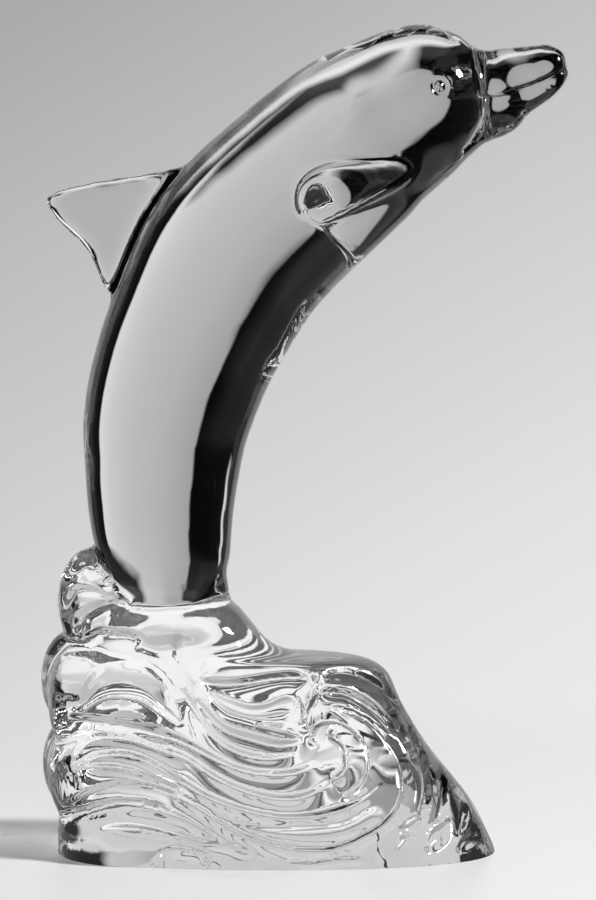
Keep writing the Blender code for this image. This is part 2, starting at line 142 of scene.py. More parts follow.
# Through the glass the floor shows bands of painted shade and light at these distances from the foot's
# middle: a painted shadow of the glass near the foot, then painted caustic light with a grey band in it
PAINTED_FLOOR_SHADE_AND_LIGHT = (
    (0 * MM, 0.20),
    (40 * MM, 0.30),
    (60 * MM, 1.0),
    (125 * MM, 1.0),
    (150 * MM, 0.68),
    (190 * MM, 0.68),
    (220 * MM, 1.0),
    (300 * MM, 1.0),
)
PAINTED_BANDS_THROUGH_GLASS = 0.9  # share of the bands in the floor that the glass lets through
PAINTED_BANDS_MIRRORED = 0.9  # and in the floor that it mirrors
MIRROR_DIMMING = 0.6  # share of the bands' light that a mirrored ray loses

# Lamp: name, place, size, power
LAMP_AIM = Vector((0, 0, 60 * MM))
LAMPS = (("Key", (1.40, -0.60, 1.10), 0.26, 48.0),)
WORLD_LEVEL = 0.22  # light from all round on what isn't glass

# Backdrop, by degrees across the picture from its upper left to its lower right: grey levels
BACKDROP_SPAN = 24.0
BACKDROP_TURN = 1.8  # degrees that one degree of height counts for
BACKDROP = ((-24, 0.32), (-9, 0.40), (0, 0.55), (8, 0.68), (12, 0.75), (17, 0.81), (24, 0.86))

# Cards that show only in the glass, by degrees from straight behind it: grey levels
LEFT_CARDS = (
    (0, 0.50),
    (17, 0.38),
    (18, 0.0),
    (55, 0.0),
    (58, 0.95),
    (110, 0.95),
    (125, 0.2),
    (140, 0.7),
    (180, 0.7),
)
RIGHT_CARDS = (
    (0, 0.50),
    (15, 0.56),
    (30, 0.66),
    (42, 0.82),
    (44, 0.0),
    (94, 0.0),
    (98, 0.95),
    (130, 0.95),
    (150, 0.7),
    (180, 0.7),
)
SIDE_BLEND = 0.05  # how gently the left cards turn into the right ones
MIRRORED_ROOM = ((0, 0.6), (45, 0.7), (50, 0.03), (180, 0.03))

# What is over and under the cards, by degrees over the level: grey levels
SKY = ((-90, 0.02), (19, 0.0), (21, 1.0), (30, 1.0), (33, 0.05), (42, 0.05), (45, 0.95), (90, 0.95))
OVERHEAD = ((-90, 0.85), (-8, 0.80), (0, 0.6), (60, 0.75), (90, 0.95))

# Where each of them shows, from 0 to 1: _TOP, _FOOT and _REACH by degrees over the level, and the others by
# degrees to the right of straight behind
CARDS_TOP = ((-90, 1.0), (8, 1.0), (11, 0.0), (90, 0.0))
CARDS_FOOT = ((-90, 0.0), (-26, 0.0), (-20, 1.0), (90, 1.0))
FOOTLESS_CARDS = ((-180, 1.0), (5, 1.0), (9, 0.0), (26, 0.0), (32, 1.0), (180, 1.0))
TALL_CARDS = ((-180, 0.0), (-15, 0.0), (-11, 1.0), (13, 1.0), (18, 0.0), (180, 0.0))
TALL_CARDS_TOP = ((-90, 1.0), (28, 1.0), (33, 0.0), (90, 0.0))
SKY_SIDE = ((-180, 0.0), (8, 0.0), (18, 1.0), (180, 1.0))
CARD_REACH = ((-90, 0.0), (-40, 0.0), (-34, 1.0), (55, 1.0), (62, 0.0), (90, 0.0))

# Spine of the dolphin from deep in the wave to the brow: x and z over the leap's height, then its girth
SPINE = (
    (-0.016, 0.180, 0.30),
    (-0.076, 0.260, 0.37),
    (-0.118, 0.326, 0.51),
    (-0.142, 0.384, 0.68),
    (-0.150, 0.460, 0.77),
    (-0.147, 0.530, 0.835),
    (-0.137, 0.595, 0.89),
    (-0.115, 0.662, 0.925),
    (-0.081, 0.734, 0.97),
    (-0.033, 0.810, 1.00),
    (0.050, 0.888, 0.98),
    (0.128, 0.951, 0.91),
    (0.178, 0.981, 0.835),
    (0.224, 1.001, 0.73),
    (0.252, 1.011, 0.58),
    (0.268, 1.016, 0.36),
    (0.275, 1.019, 0.10),
)
# Beak from inside the head to its tip: x and z over the leap's height, then its girth
BEAK = (
    (0.205, 0.985, 0.90),
    (0.262, 0.994, 0.98),
    (0.302, 1.008, 0.82),
    (0.336, 1.021, 0.66),
    (0.360, 1.032, 0.53),
    (0.375, 1.039, 0.38),
    (0.381, 1.041, 0.12),
)
# Dorsal fin's outline, from inside the back round its tip: x and z over the leap's height
FIN = (
    (-0.110, 0.900),
    (-0.155, 0.897),
    (-0.230, 0.885),
    (-0.285, 0.872),
    (-0.302, 0.862),
    (-0.298, 0.848),
    (-0.270, 0.815),
    (-0.240, 0.780),
    (-0.222, 0.740),
    (-0.180, 0.740),
    (-0.110, 0.800),
)
# Flipper on the +Y side, root to tip: x and z over the leap's height, y over the body's width; then the way
# its broad side faces
FLIPPER_ROOT = (0.163, 0.31, 0.912)
FLIPPER_TIP = (0.031, 0.64, 0.826)
FLIPPER_FACING = (0.45, 0.70, 0.75)
# Girth of a flipper along its length, root to tip
FLIPPER_TAPER = (
    (0.0, 0.70),
    (0.2, 0.95),
    (0.45, 1.0),
    (0.7, 0.88),
    (0.88, 0.62),
    (0.97, 0.32),
    (1.0, 0.08),
)
# Mouth, from the tip of the beak to its corner, and the eye: x and z over the leap's height
MOUTH = ((0.395, 1.042), (0.370, 1.024), (0.346, 1.012), (0.316, 1.001), (0.288, 0.993), (0.268, 0.995))
EYE = (0.213, 1.005)

# Wave's side: height over the crest's, left and right end over the foot's length, depth over the foot's
WAVE = (
    (-0.12, -0.500, 0.505, 1.00),
    (0.00, -0.497, 0.503, 1.00),
    (0.07, -0.480, 0.490, 0.98),
    (0.22, -0.465, 0.457, 0.94),
    (0.37, -0.461, 0.410, 0.90),
    (0.53, -0.459, 0.352, 0.83),
    (0.67, -0.455, 0.312, 0.76),
    (0.83, -0.448, 0.275, 0.67),
    (0.94, -0.438, 0.248, 0.60),
    (0.99, -0.434, 0.203, 0.56),
    (1.01, -0.432, 0.075, 0.53),
    (1.06, -0.425, -0.004, 0.50),
    (1.14, -0.410, -0.040, 0.50),
    (1.20, -0.390, -0.062, 0.47),
    (1.25, -0.350, -0.080, 0.40),
    (1.27, -0.300, -0.095, 0.30),
)
WAVE_PLAN_POWER = 2.3  # seen from above each section is between an ellipse, 2, and a rectangle
# Rolls of foam that wrap the wave's back one above the other, from the front side round to the rear one:
# x over the foot's length, y over its depth, z over the crest's height, then girth
ROLLS = (
    (
        (-0.31, -0.06, 1.09, 0.20),
        (-0.36, -0.05, 1.15, 0.60),
        (-0.405, -0.01, 1.23, 0.88),
        (-0.425, 0.06, 1.28, 0.95),
        (-0.37, 0.13, 1.27, 0.88),
        (-0.32, 0.19, 1.20, 0.60),
        (-0.27, 0.21, 1.17, 0.20),
    ),
    (
        (-0.18, -0.16, 0.68, 0.12),
        (-0.26, -0.22, 0.73, 0.60),
        (-0.34, -0.21, 0.75, 0.95),
        (-0.425, -0.13, 0.76, 1.00),
        (-0.450, 0.00, 0.82, 0.90),
        (-0.474, 0.12, 0.88, 0.82),
        (-0.36, 0.21, 0.83, 0.90),
        (-0.26, 0.22, 0.76, 0.60),
        (-0.18, 0.16, 0.68, 0.12),
    ),
    (
        (-0.06, -0.20, 0.30, 0.10),
        (-0.15, -0.31, 0.36, 0.35),
        (-0.24, -0.34, 0.42, 0.65),
        (-0.34, -0.30, 0.43, 0.85),
        (-0.43, -0.19, 0.41, 0.90),
        (-0.450, 0.00, 0.42, 0.88),
        (-0.470, 0.15, 0.44, 0.82),
        (-0.36, 0.29, 0.46, 0.85),
        (-0.24, 0.34, 0.43, 0.65),
        (-0.15, 0.31, 0.36, 0.35),
        (-0.06, 0.20, 0.30, 0.10),
    ),
    (
        (-0.08, -0.24, 0.08, 0.10),
        (-0.17, -0.36, 0.12, 0.35),
        (-0.26, -0.385, 0.15, 0.55),
        (-0.36, -0.33, 0.12, 0.68),
        (-0.43, -0.19, 0.10, 0.68),
        (-0.445, 0.00, 0.10, 0.68),
        (-0.435, 0.19, 0.11, 0.68),
        (-0.36, 0.33, 0.12, 0.68),
        (-0.26, 0.385, 0.15, 0.55),
        (-0.17, 0.36, 0.12, 0.35),
        (-0.08, 0.24, 0.08, 0.10),
    ),
)

# Lines pressed beside the strands of water, so that each strand runs out under the next, and lines in the
# top roll of foam: x over the foot's length, z over the crest's height
GROOVES = (
    ((-0.466, 0.72), (-0.418, 0.71), (-0.327, 0.69), (-0.258, 0.66), (-0.195, 0.61), (-0.139, 0.55),
     (-0.070, 0.49), (0.000, 0.47), (0.055, 0.48), (0.101, 0.52)),
    ((-0.446, 0.52), (-0.418, 0.62), (-0.369, 0.65), (-0.306, 0.64), (-0.251, 0.60), (-0.195, 0.54),
     (-0.139, 0.46), (-0.070, 0.39), (0.000, 0.35), (0.069, 0.36), (0.128, 0.43)),
    ((-0.435, 0.42), (-0.421, 0.52), (-0.383, 0.56), (-0.334, 0.57), (-0.286, 0.54), (-0.230, 0.46),
     (-0.167, 0.37), (-0.084, 0.30), (0.000, 0.26), (0.083, 0.26), (0.153, 0.29), (0.208, 0.35),
     (0.254, 0.44)),
    ((-0.459, 0.29), (-0.418, 0.35), (-0.369, 0.40), (-0.320, 0.41), (-0.265, 0.39), (-0.209, 0.34),
     (-0.160, 0.28), (-0.112, 0.21), (-0.056, 0.15), (0.007, 0.11), (0.069, 0.09), (0.139, 0.10),
     (0.208, 0.16), (0.264, 0.24), (0.292, 0.35), (0.293, 0.46), (0.271, 0.58), (0.229, 0.69),
     (0.174, 0.76), (0.111, 0.78), (0.073, 0.75)),
    ((0.146, 0.35), (0.188, 0.38), (0.214, 0.46), (0.217, 0.57), (0.194, 0.66), (0.153, 0.72),
     (0.111, 0.73), (0.087, 0.70), (0.080, 0.64), (0.097, 0.60)),
    ((0.128, 0.43), (0.160, 0.48), (0.167, 0.57), (0.146, 0.64), (0.118, 0.66)),
    ((0.090, 0.85), (0.146, 0.86), (0.201, 0.81), (0.250, 0.72), (0.288, 0.60)),
    ((0.104, 0.94), (0.181, 0.95), (0.236, 0.88), (0.285, 0.75), (0.323, 0.58), (0.344, 0.44),
     (0.342, 0.29), (0.316, 0.18), (0.264, 0.09)),
    ((0.167, 1.01), (0.243, 0.98), (0.292, 0.84), (0.341, 0.66), (0.375, 0.48), (0.386, 0.33),
     (0.372, 0.21), (0.334, 0.08)),
    ((0.320, 0.72), (0.375, 0.54), (0.417, 0.36), (0.431, 0.23), (0.410, 0.12)),
    ((-0.171, 0.92), (-0.112, 0.91), (-0.056, 0.92), (0.000, 0.94), (0.055, 0.94), (0.087, 0.91)),
    ((0.094, 0.95), (0.090, 0.87), (0.073, 0.79), (0.068, 0.70)),
    ((-0.178, 0.84), (-0.146, 0.75), (-0.105, 0.68), (-0.049, 0.64), (0.014, 0.61), (0.069, 0.63)),
    ((-0.209, 0.89), (-0.181, 0.78), (-0.139, 0.66), (-0.084, 0.58), (-0.014, 0.55), (0.055, 0.57)),
    ((-0.452, 0.48), (-0.390, 0.50), (-0.327, 0.49), (-0.265, 0.44), (-0.209, 0.38), (-0.153, 0.30)),
    ((-0.480, 0.23), (-0.425, 0.26), (-0.362, 0.31), (-0.306, 0.31), (-0.251, 0.29), (-0.195, 0.23),
     (-0.139, 0.16), (-0.077, 0.09)),
    ((-0.397, 0.18), (-0.327, 0.20), (-0.251, 0.17), (-0.181, 0.13), (-0.112, 0.12), (-0.028, 0.07)),
    ((-0.265, 0.06), (-0.223, 0.09), (-0.181, 0.09), (-0.139, 0.06)),
    ((-0.452, 1.13), (-0.442, 1.21), (-0.411, 1.27), (-0.369, 1.30), (-0.324, 1.27)),
    ((-0.432, 1.10), (-0.397, 1.13), (-0.348, 1.14), (-0.299, 1.11)),
    ((-0.470, 1.24), (-0.459, 1.34), (-0.425, 1.36), (-0.383, 1.34), (-0.348, 1.30)),
    ((-0.466, 1.41), (-0.425, 1.48), (-0.390, 1.43), (-0.372, 1.33)),
)

# Hollows pressed in the wave's side, each a closed outline in the same shares
HOLLOWS = (
    ((-0.150, 0.87), (-0.105, 0.85), (-0.056, 0.81), (-0.014, 0.82), (0.031, 0.85), (0.059, 0.81),
     (0.061, 0.73), (0.055, 0.64), (0.021, 0.64), (-0.035, 0.67), (-0.084, 0.70), (-0.126, 0.74)),
    ((-0.046, 0.71), (-0.007, 0.72), (0.031, 0.69), (0.028, 0.66), (-0.014, 0.67)),
    ((-0.433, 0.77), (-0.433, 0.88), (-0.407, 0.97), (-0.362, 1.01), (-0.310, 1.00), (-0.261, 0.92),
     (-0.226, 0.82), (-0.207, 0.71), (-0.247, 0.75), (-0.292, 0.82), (-0.348, 0.84), (-0.400, 0.81)),
    ((-0.366, 0.74), (-0.331, 0.76), (-0.290, 0.73), (-0.327, 0.72)),
    ((-0.220, 1.11), (-0.210, 1.06), (-0.220, 1.00), (-0.228, 1.06)),
    ((-0.146, 0.27), (-0.070, 0.23), (0.021, 0.22), (0.111, 0.23), (0.181, 0.27), (0.229, 0.31),
     (0.247, 0.26), (0.212, 0.18), (0.139, 0.12), (0.062, 0.11), (-0.014, 0.15), (-0.084, 0.21)),
    ((0.014, 0.03), (0.104, 0.06), (0.198, 0.06), (0.212, 0.04), (0.146, 0.01), (0.062, 0.00)),
    ((0.274, 0.18), (0.300, 0.24), (0.330, 0.25), (0.328, 0.20), (0.300, 0.15)),
    ((0.337, 0.07), (0.343, 0.14), (0.370, 0.21), (0.398, 0.22), (0.399, 0.15), (0.375, 0.08)),
    ((0.410, 0.05), (0.431, 0.15), (0.462, 0.18), (0.473, 0.12), (0.445, 0.06)),
)


def smooth_line(rows, count, closed=False):
    """A cubic spline of even curvature through the rows, read at evenly spaced places."""
    rows = np.array(rows, float)
    shared = 4  # rows repeated at each end of a closed line, so that it bends alike where it closes
    if closed:
        rows = np.vstack([rows[-shared:], rows, rows[:shared]])
    steps = np.linalg.norm(np.diff(rows, axis=0), axis=1)
    knots = np.concatenate([[0], np.cumsum(steps)])
    bend_share, pull = np.eye(len(rows)), np.zeros_like(rows)
    for i in range(1, len(rows) - 1):
        before, after = steps[i - 1], steps[i]
        bend_share[i, i - 1 : i + 2] = before, 2 * (before + after), after
        pull[i] = 6 * ((rows[i + 1] - rows[i]) / after - (rows[i] - rows[i - 1]) / before)
    bend = np.linalg.solve(bend_share, pull)
    first, last = (knots[shared], knots[-shared]) if closed else (0, knots[-1])
    places = np.linspace(first, last, count, endpoint=not closed)
    left = np.clip(np.searchsorted(knots, places, side="right") - 1, 0, len(rows) - 2)
    gap = steps[left][:, None]
    near_end = (places[:, None] - knots[left][:, None]) / gap
    near_start = 1 - near_end
    return (
        near_start * rows[left]
        + near_end * rows[left + 1]
        + (near_start**3 - near_start) * bend[left] * gap**2 / 6
        + (near_end**3 - near_end) * bend[left + 1] * gap**2 / 6
    )


def loft(skin, rings):
    """Adds a closed skin over a row of rings that have the same number of points."""
    rows = [[skin.verts.new(point) for point in ring] for ring in rings]
    for lower, upper in zip(rows, rows[1:]):
        for i in range(len(lower)):
            j = (i + 1) % len(lower)
            skin.faces.new((lower[i], lower[j], upper[j], upper[i]))
    skin.faces.new(rows[0][::-1])
    skin.faces.new(rows[-1])


def turn_angles():
    return np.linspace(0, 2 * math.pi, RING_POINTS, endpoint=False)


def add_swept(skin, rows, height, width):
    """Oval sections square to a spine in the XZ plane, whose rows give x, z and girth."""
    line = smooth_line(rows, RINGS_PER_ROW * len(rows))
    along = np.gradient(line[:, :2], axis=0)
    along /= np.linalg.norm(along, axis=1)[:, None]
    rings = []
    for (x, z, girth), (along_x, along_z) in zip(line, along):
        rise = np.cos(turn_angles()) * girth * height / 2
        side = np.sin(turn_angles()) * girth * width / 2
        rings.append(np.stack([x - along_z * rise, side, z + along_x * rise], axis=1))
    loft(skin, rings)


def on_leap(rows):
    """Rows whose first two numbers are shares of the leap's height, in metres."""
    return [(x * LEAP_HEIGHT, z * LEAP_HEIGHT, *rest) for x, z, *rest in rows]


def add_dorsal_fin(skin):
    outline = smooth_line(on_leap(FIN), RING_POINTS, closed=True)
    middle = outline.mean(axis=0)
    reach = np.linalg.norm(outline - middle, axis=1)[:, None]
    rings = []
    for angle in np.linspace(-math.pi / 2, math.pi / 2, EDGE_RINGS):
        drawn_in = FIN_EDGE * (1 - math.cos(angle))
        drawn = middle + (outline - middle) * (1 - drawn_in / reach)
        side = np.full(len(outline), FIN_THICKNESS / 2 * math.sin(angle))
        rings.append(np.stack([drawn[:, 0], side, drawn[:, 1]], axis=1))
    loft(skin, rings)


def add_flipper(skin, side):
    """A thick leaf that leaves the belly outwards and back: side 1 is the +Y one, -1 the other."""
    mirror = np.array([1, side, 1])
    place = np.array([LEAP_HEIGHT, BODY_WIDTH, LEAP_HEIGHT])
    root = np.array(FLIPPER_ROOT) * place * mirror
    along = np.array(FLIPPER_TIP) * place * mirror - root
    along /= np.linalg.norm(along)
    chord = np.cross(np.array(FLIPPER_FACING) * mirror, along)
    chord /= np.linalg.norm(chord)
    thick = np.cross(along, chord)
    rings = []
    for reach, girth in smooth_line(FLIPPER_TAPER, RINGS_PER_ROW * len(FLIPPER_TAPER)):
        bow = chord * FLIPPER_BOW * math.sin(math.pi * reach)
        middle = root + along * reach * FLIPPER_LENGTH - bow
        wide = np.cos(turn_angles())[:, None] * chord * girth * FLIPPER_CHORD / 2
        deep = np.sin(turn_angles())[:, None] * thick * girth * FLIPPER_THICKNESS / 2
        rings.append(middle + wide + deep)
    loft(skin, rings)


def add_wave(skin):
    rings = []
    for height, left, right, depth in smooth_line(WAVE, RINGS_PER_ROW * len(WAVE)):
        half = (right - left) / 2 * FOOT_LENGTH
        middle = (right + left) / 2 * FOOT_LENGTH
        across, out = np.cos(turn_angles()), np.sin(turn_angles())
        power = 2 / WAVE_PLAN_POWER
        x = middle + half * np.sign(across) * np.abs(across) ** power
        y = depth * FOOT_DEPTH / 2 * np.sign(out) * np.abs(out) ** power
        rings.append(np.stack([x, y, np.full(RING_POINTS, height * CREST_HEIGHT)], axis=1))
    loft(skin, rings)


def add_foam_roll(skin, rows):
    path = smooth_line(rows, RINGS_PER_ROW * len(rows))
    middles = path[:, :3] * (FOOT_LENGTH, FOOT_DEPTH, CREST_HEIGHT)
    rings = []
    for middle, along, girth in zip(middles, np.gradient(middles, axis=0), path[:, 3]):
        out = np.cross(along, (0, 0, 1))
        out /= np.linalg.norm(out)
        deep = np.cos(turn_angles())[:, None] * out * girth * ROLL_THICKNESS / 2
        tall = np.sin(turn_angles())[:, None] * np.array((0, 0, 1)) * girth * ROLL_HEIGHT / 2
        rings.append(middle + deep + tall)
    loft(skin, rings)


def distance_to(line, points):
    """For each point, its distance to a line, on which side it lies, and how far along the line it is."""
    best = np.full(len(points), np.inf)
    side = np.zeros(len(points))
    along = np.zeros(len(points))
    for i, (start, end) in enumerate(zip(line, line[1:])):
        run = end - start
        reach = np.clip((points - start) @ run / (run @ run), 0, 1)
        offset = points - start - reach[:, None] * run
        away = np.linalg.norm(offset, axis=1)
        closer = away < best
        best[closer] = away[closer]
        side[closer] = np.sign(run[1] * offset[closer, 0] - run[0] * offset[closer, 1])
        along[closer] = (i + reach[closer]) / (len(line) - 1)
    return best, side, along


def on_wave(rows):
    return np.array(rows) * (FOOT_LENGTH, CREST_HEIGHT)


def reached_by(line, points):
    """Which points are near enough to a line for its pattern to show."""
    low, high = line.min(axis=0) - LINE_REACH, line.max(axis=0) + LINE_REACH
    return np.all((points > low) & (points < high), axis=1)


def groove(line, points):
    """How much of its depth a line has at each point: steep on one side, and running out on the other."""
    away, side, along = distance_to(line, points)
    steep = np.exp(-((away / GROOVE_WIDTH) ** 2))
    gentle = np.exp(-away / RUN_OUT)
    taper = np.clip(np.minimum(along, 1 - along) / GROOVE_TAPER, 0, 1)
    return np.where(side > 0, gentle, steep) * np.sin(taper * math.pi / 2)


def inside(outline, points):
    """Which points lie inside a closed outline."""
    found = np.zeros(len(points), bool)
    for (x0, z0), (x1, z1) in zip(outline, np.roll(outline, -1, axis=0)):
        if z0 == z1:
            continue
        crosses = (z0 > points[:, 1]) != (z1 > points[:, 1])
        found ^= crosses & (points[:, 0] < x0 + (points[:, 1] - z0) * (x1 - x0) / (z1 - z0))
    return found


def wave_relief(points):
    grooves = np.zeros(len(points))
    dishes = np.zeros(len(points))
    for rows in GROOVES:
        line = smooth_line(on_wave(rows), LINE_READINGS)
        near = reached_by(line, points)
        grooves[near] = np.maximum(grooves[near], groove(line, points[near]))
    for rows in HOLLOWS:
        outline = smooth_line(on_wave(rows), LINE_READINGS, closed=True)
        within = inside(outline, points)
        away = distance_to(np.vstack([outline, outline[:1]]), points[within])[0]
        grooves[within] *= CALM
        dishes[within] += 1 - np.exp(-away / HOLLOW_SLOPE)
    return -STRAND_DEPTH * grooves - HOLLOW_DEPTH * dishes


def head_relief(points):
    """The mouth and the eye, pressed alike in both sides of the head."""
    away = distance_to(smooth_line(np.array(MOUTH) * LEAP_HEIGHT, LINE_READINGS), points)[0]
    mouth = MOUTH_DEPTH * np.exp(-((away / MOUTH_WIDTH) ** 2))
    from_eye = np.linalg.norm(points - np.array(EYE) * LEAP_HEIGHT, axis=1)
    eye = EYE_DEPTH * np.exp(-(((from_eye - EYE_RADIUS) / EYE_LINE) ** 2))
    return -mouth - eye


def vertex_rows(mesh, attribute):
    rows = np.empty(3 * len(mesh.vertices), np.float32)
    mesh.vertices.foreach_get(attribute, rows)
    return rows.reshape(-1, 3).astype(float)


def pressed(mesh):
    """Moves the skin in along its normals by the pattern that the mould presses in its two sides."""
    points, normals = vertex_rows(mesh, "co"), vertex_rows(mesh, "normal")
    depth = np.zeros(len(points))
    for part, relief in (
        (points[:, 2] < WAVE_TOP, wave_relief),
        (points[:, 2] > HEAD_START, head_relief),
    ):
        depth[part] = relief(points[part][:, [0, 2]])
    facing = np.maximum(np.abs(normals[:, 1]), -WRAP * normals[:, 0])
    front = np.clip(0.5 - points[:, 1] / FADE_ACROSS, 0, 1)
    share = np.where(points[:, 2] < WAVE_TOP, REAR_SHARE + (1 - REAR_SHARE) * front, 1)
    points += normals * (depth * facing * share)[:, None]
    mesh.vertices.foreach_set("co", points.astype(np.float32).ravel())


def bake_modifiers(figure):
    graph = bpy.context.evaluated_depsgraph_get()
    figure.data = bpy.data.meshes.new_from_object(figure.evaluated_get(graph))
    figure.modifiers.clear()


def add_modifier(figure, name, kind, **settings):
    modifier = figure.modifiers.new(name, kind)
    for setting, value in settings.items():
        setattr(modifier, setting, value)


def mark_plain_skin(figure):
    """A vertex group with the plain skin of the dolphin, which takes more rounding than the wave."""
    group = figure.vertex_groups.new(name=PLAIN_SKIN)
    heights = vertex_rows(figure.data, "co")[:, 2]
    weights = np.clip((heights - SMOOTH_FROM) / SMOOTH_BLEND, 0, 1)
    for index in np.flatnonzero(weights):
        group.add([int(index)], float(weights[index]), "REPLACE")


def refine_patterned_skin(figure):
    """Halves the skin's mesh where the strands, the mouth and the eyes are pressed."""
    mesh = bmesh.new()
    mesh.from_mesh(figure.data)
    mesh.normal_update()
    eye_x = EYE[0] * LEAP_HEIGHT
    fine = []
    for face in mesh.faces:
        middle = face.calc_center_median()
        on_side = abs(face.normal.y) > SIDE_FACING
        by_wave = middle.z < WAVE_TOP
        by_eye = middle.z > HEAD_START and middle.x > eye_x - EYE_SURROUND
        if on_side and (by_wave or by_eye):
            fine.append(face)
    edges = list({edge for face in fine for edge in face.edges})
    bmesh.ops.subdivide_edges(mesh, edges=edges, cuts=1, use_grid_fill=True)
    mesh.to_mesh(figure.data)
    mesh.free()


def melted(skin):
    """The overlapping forms melted into one skin, rounded where they meet, pressed and fire polished."""
    bmesh.ops.recalc_face_normals(skin, faces=skin.faces)
    mesh = bpy.data.meshes.new("glass_dolphin")
    skin.to_mesh(mesh)
    skin.free()
    figure = bpy.data.objects.new("glass_dolphin", mesh)
    bpy.context.collection.objects.link(figure)
    add_modifier(figure, "Melt", "REMESH", mode="VOXEL", voxel_size=VOXEL)
    add_modifier(figure, "Rounding", "SMOOTH", iterations=ROUNDING_STEPS)
    bake_modifiers(figure)
    mark_plain_skin(figure)
    add_modifier(figure, "Body rounding", "SMOOTH", iterations=BODY_ROUNDING_STEPS, vertex_group=PLAIN_SKIN)
    bake_modifiers(figure)
    refine_patterned_skin(figure)
    add_modifier(figure, "Fine rounding", "SMOOTH", iterations=FINE_ROUNDING_STEPS)
    bake_modifiers(figure)
    pressed(figure.data)
    add_modifier(figure, "Fire polish", "SMOOTH", iterations=POLISHING_STEPS)
    bake_modifiers(figure)
    figure.vertex_groups.clear()
    return figure


def grind_foot_flat(figure):
    mesh = bmesh.new()
    mesh.from_mesh(figure.data)
    everything = mesh.verts[:] + mesh.edges[:] + mesh.faces[:]
    cut = bmesh.ops.bisect_plane(
        mesh, geom=everything, plane_co=(0, 0, 0), plane_no=(0, 0, -1), clear_outer=True
    )
    rim = [part for part in cut["geom_cut"] if isinstance(part, bmesh.types.BMEdge)]
    filled = bmesh.ops.edgenet_fill(mesh, edges=rim)
    bmesh.ops.recalc_face_normals(mesh, faces=mesh.faces)
    for face in mesh.faces:
        face.smooth = True
    for face in filled["faces"]:
        face.smooth = False
    for edge in rim:
        if edge.is_valid:
            edge.smooth = False
    mesh.to_mesh(figure.data)
    mesh.free()


def add_node(tree, kind, **settings):
    """A new node, with values for its sockets or its settings by their names."""
    node = tree.nodes.new(kind)
    for setting, value in settings.items():
        socket = setting.replace("_", " ")
        if socket in node.inputs:
            node.inputs[socket].default_value = value
        else:
            setattr(node, setting, value)
    return node


def set_or_link(tree, socket, value):
    if isinstance(value, bpy.types.NodeSocket):
        tree.links.new(value, socket)
    else:
        socket.default_value = value


def calculated(tree, operation, first, second=0.0):
    node = add_node(tree, "ShaderNodeMath", operation=operation)
    set_or_link(tree, node.inputs[0], first)
    set_or_link(tree, node.inputs[1], second)
    return node.outputs["Value"]


def mixed(tree, share, first, second):
    """A colour that goes from first to second as the share goes from 0 to 1."""
    node = add_node(tree, "ShaderNodeMix", data_type="RGBA")
    factor, colour_a, colour_b = node.inputs[0], node.inputs[6], node.inputs[7]
    for socket, value in ((factor, share), (colour_a, first), (colour_b, second)):
        set_or_link(tree, socket, value)
    return node.outputs[2]


def in_degrees(tree, angle):
    return calculated(tree, "MULTIPLY", angle, math.degrees(1))


def grey(level):
    return (level, level, level, 1)


def level_by(tree, value, low, high, stops):
    """A grey level read from stops of place and level, over a value that runs from low to high."""
    place = add_node(tree, "ShaderNodeMapRange", From_Min=low, From_Max=high)
    tree.links.new(value, place.inputs["Value"])
    ramp = add_node(tree, "ShaderNodeValToRGB")
    elements = ramp.color_ramp.elements
    while len(elements) > 1:
        elements.remove(elements[-1])
    for i, (spot, level) in enumerate(stops):
        share = (spot - low) / (high - low)
        stop = elements[0] if i == 0 else elements.new(share)
        stop.position = share
        stop.color = grey(level)
    tree.links.new(place.outputs["Result"], ramp.inputs["Fac"])
    return ramp.outputs["Color"]


def mirrored_rays(tree, ray):
    """1 for a ray that a polished surface has mirrored, else 0."""
    return calculated(tree, "MINIMUM", ray.outputs["Glossy Depth"], 1.0)


def unscattered_rays(tree, ray):
    """1 for a ray that no matt surface has scattered, else 0: what only glass shows lights nothing."""
    scattered = calculated(tree, "MINIMUM", ray.outputs["Diffuse Depth"], 1.0)
    return calculated(tree, "SUBTRACT", 1.0, scattered)


def clear_glass():
    """Hand-worked clear glass: a faint waviness of its surface, and faint changes of tint and polish."""
    material = bpy.data.materials.new("Clear glass")
    material.use_nodes = True
    tree = material.node_tree
    shader = tree.nodes["Principled BSDF"]
    shader.inputs["Transmission Weight"].default_value = 1.0
    shader.inputs["IOR"].default_value = GLASS_IOR
    place = add_node(tree, "ShaderNodeTexCoord")
    streaks = add_node(
        tree,
        "ShaderNodeTexNoise",
        Scale=TINT_SCALE,
        Detail=TINT_DETAIL,
        Roughness=TINT_ROUGHNESS,
        Distortion=TINT_DISTORTION,
    )
    tint = add_node(tree, "ShaderNodeValToRGB")
    for stop, position, colour in zip(tint.color_ramp.elements, TINT_RANGE, (DEEPEST_TINT, FAINTEST_TINT)):
        stop.position = position
        stop.color = colour
    polish = add_node(
        tree,
        "ShaderNodeMapRange",
        From_Min=DULL_RANGE[0],
        From_Max=DULL_RANGE[1],
        To_Min=0.0,
        To_Max=WORST_ROUGHNESS,
    )
    waves = add_node(
        tree,
        "ShaderNodeTexNoise",
        Scale=WAVINESS_SCALE,
        Detail=WAVINESS_DETAIL,
        Roughness=WAVINESS_ROUGHNESS,
    )
    bump = add_node(tree, "ShaderNodeBump", Strength=WAVINESS_STRENGTH, Distance=WAVINESS_HEIGHT)
    for texture in (streaks, waves):
        tree.links.new(place.outputs["Object"], texture.inputs["Vector"])
    tree.links.new(streaks.outputs["Fac"], tint.inputs["Fac"])
    tree.links.new(tint.outputs["Color"], shader.inputs["Base Color"])
    tree.links.new(streaks.outputs["Fac"], polish.inputs["Value"])
    tree.links.new(polish.outputs["Result"], shader.inputs["Roughness"])
    tree.links.new(waves.outputs["Fac"], bump.inputs["Height"])
    tree.links.new(bump.outputs["Normal"], shader.inputs["Normal"])
    return material


